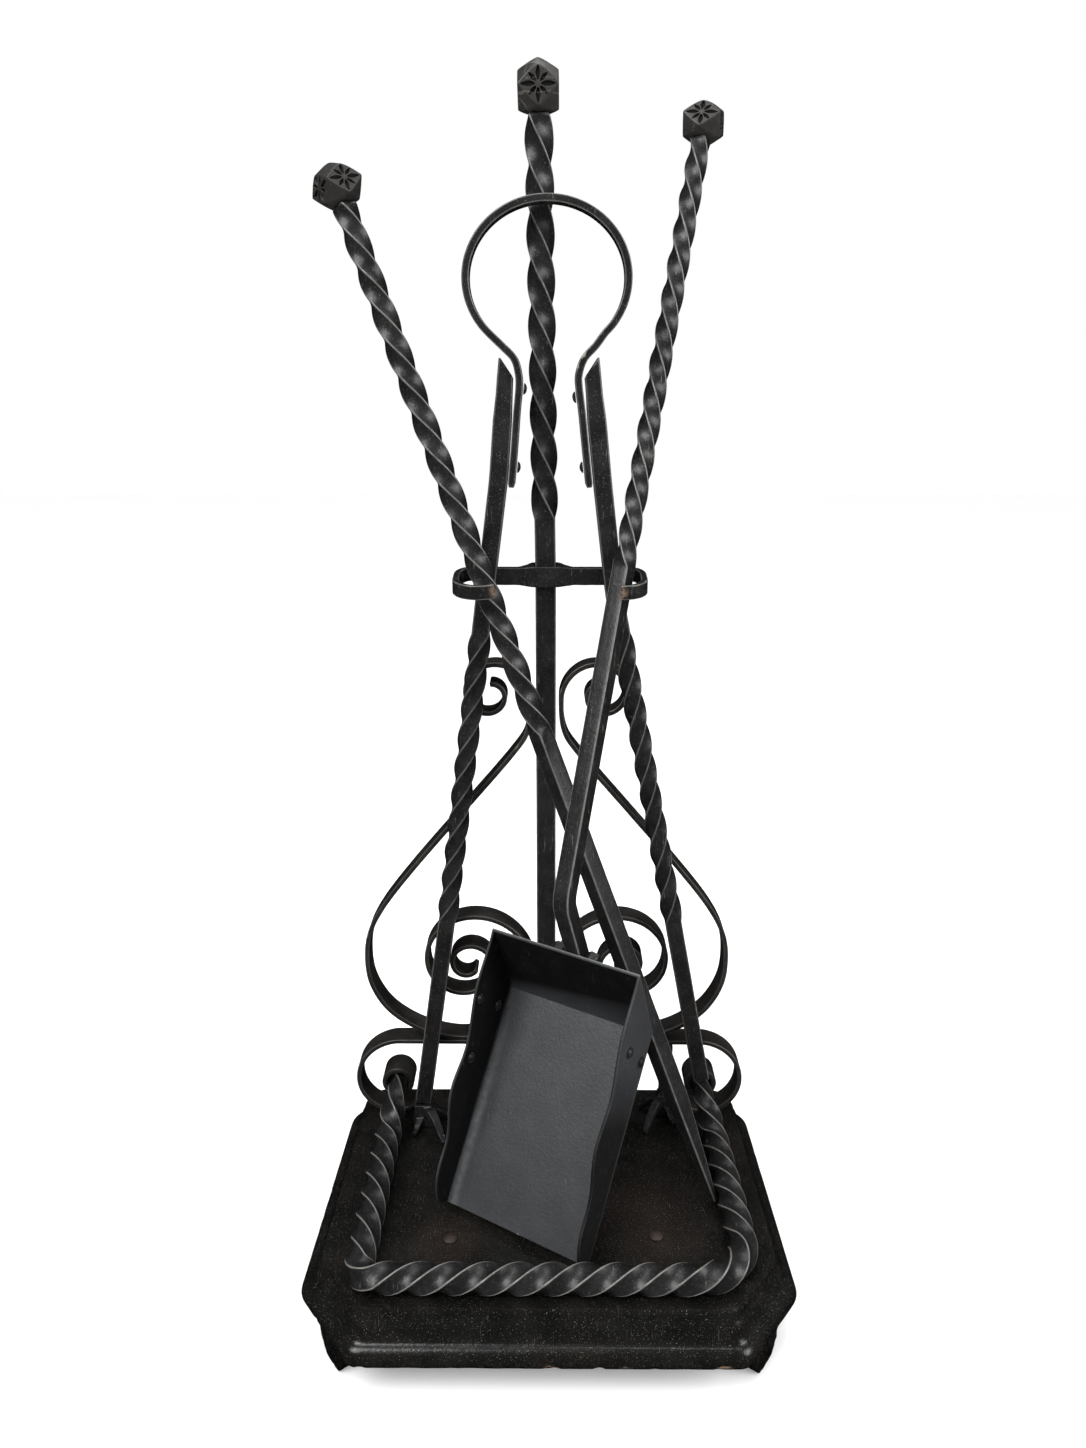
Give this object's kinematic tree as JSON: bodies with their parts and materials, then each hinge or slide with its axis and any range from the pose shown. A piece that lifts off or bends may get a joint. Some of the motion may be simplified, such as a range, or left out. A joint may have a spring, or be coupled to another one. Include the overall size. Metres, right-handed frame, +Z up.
{
  "type": "fireplace tool set",
  "caption": "Wrought-iron fireplace companion set: twisted poker and hearth shovel in open hooks on a scrolled stand with a twisted rail and a heavy moulded base.",
  "frame": {"origin": "centre of the whole set's bounding box, at the floor", "axes": "+Z up, -Y towards the front of the set where the shovel pan opens, +X to the set's right as seen from the front"},
  "size_m": [0.2974, 0.2709, 0.7196],
  "materials": {
    "wrought_iron": "blackened and waxed hand-forged iron, ridges worn bright",
    "band_iron": "brown-black flat band, worn on the edges",
    "cast_base": "brown-black worn casting with small chips",
    "sheet_iron": "blued sheet, smooth and semi-gloss",
    "carved_finial": "blackened iron with worn carved faces",
    "rusty_bolt": "rusted bolt head"
  },
  "bodies": {
    "stand": {"base": "cast_base", "front_left_foot": "cast_base", "front_right_foot": "cast_base", "rear_left_foot": "cast_base", "rear_right_foot": "cast_base", "left_base_bolt": "rusty_bolt", "right_base_bolt": "rusty_bolt", "fender_rail": "wrought_iron", "left_leg": "wrought_iron", "right_leg": "wrought_iron", "centre_post": "wrought_iron", "centre_finial": "carved_finial", "crossbar": "wrought_iron", "left_tool_hook": "wrought_iron", "right_tool_hook": "wrought_iron", "omega_loop": "wrought_iron", "left_upper_loop_rivet": "wrought_iron", "left_lower_loop_rivet": "wrought_iron", "right_upper_loop_rivet": "wrought_iron", "right_lower_loop_rivet": "wrought_iron", "left_scroll": "band_iron", "right_scroll": "band_iron", "left_bottom_scroll": "band_iron", "right_bottom_scroll": "band_iron", "left_rail_socket": "band_iron", "right_rail_socket": "band_iron", "left_scroll_rivet": "band_iron", "right_scroll_rivet": "band_iron", "left_claw_foot": "wrought_iron", "right_claw_foot": "wrought_iron", "right_panel_stay": "wrought_iron"},
    "poker": {"poker_shaft": "wrought_iron", "poker_finial": "carved_finial"},
    "shovel": {"shovel_shaft": "wrought_iron", "shovel_finial": "carved_finial", "shovel_pan": "sheet_iron", "left_pan_bolt": "wrought_iron", "right_pan_bolt": "wrought_iron", "left_pan_rivet_1": "wrought_iron", "left_pan_rivet_2": "wrought_iron", "left_pan_rivet_3": "wrought_iron", "right_pan_rivet_1": "wrought_iron", "right_pan_rivet_2": "wrought_iron"}
  },
  "joints": [
    {"name": "poker_lift", "type": "slide", "parent": "stand", "child": "poker", "axis": [-0.3475, 0.1541, 0.9249], "range_m": [0, 0.43]},
    {"name": "shovel_lift", "type": "slide", "parent": "stand", "child": "shovel", "axis": [-0.0904, 0.0452, 0.9949], "range_m": [0, 0.07]}
  ]
}
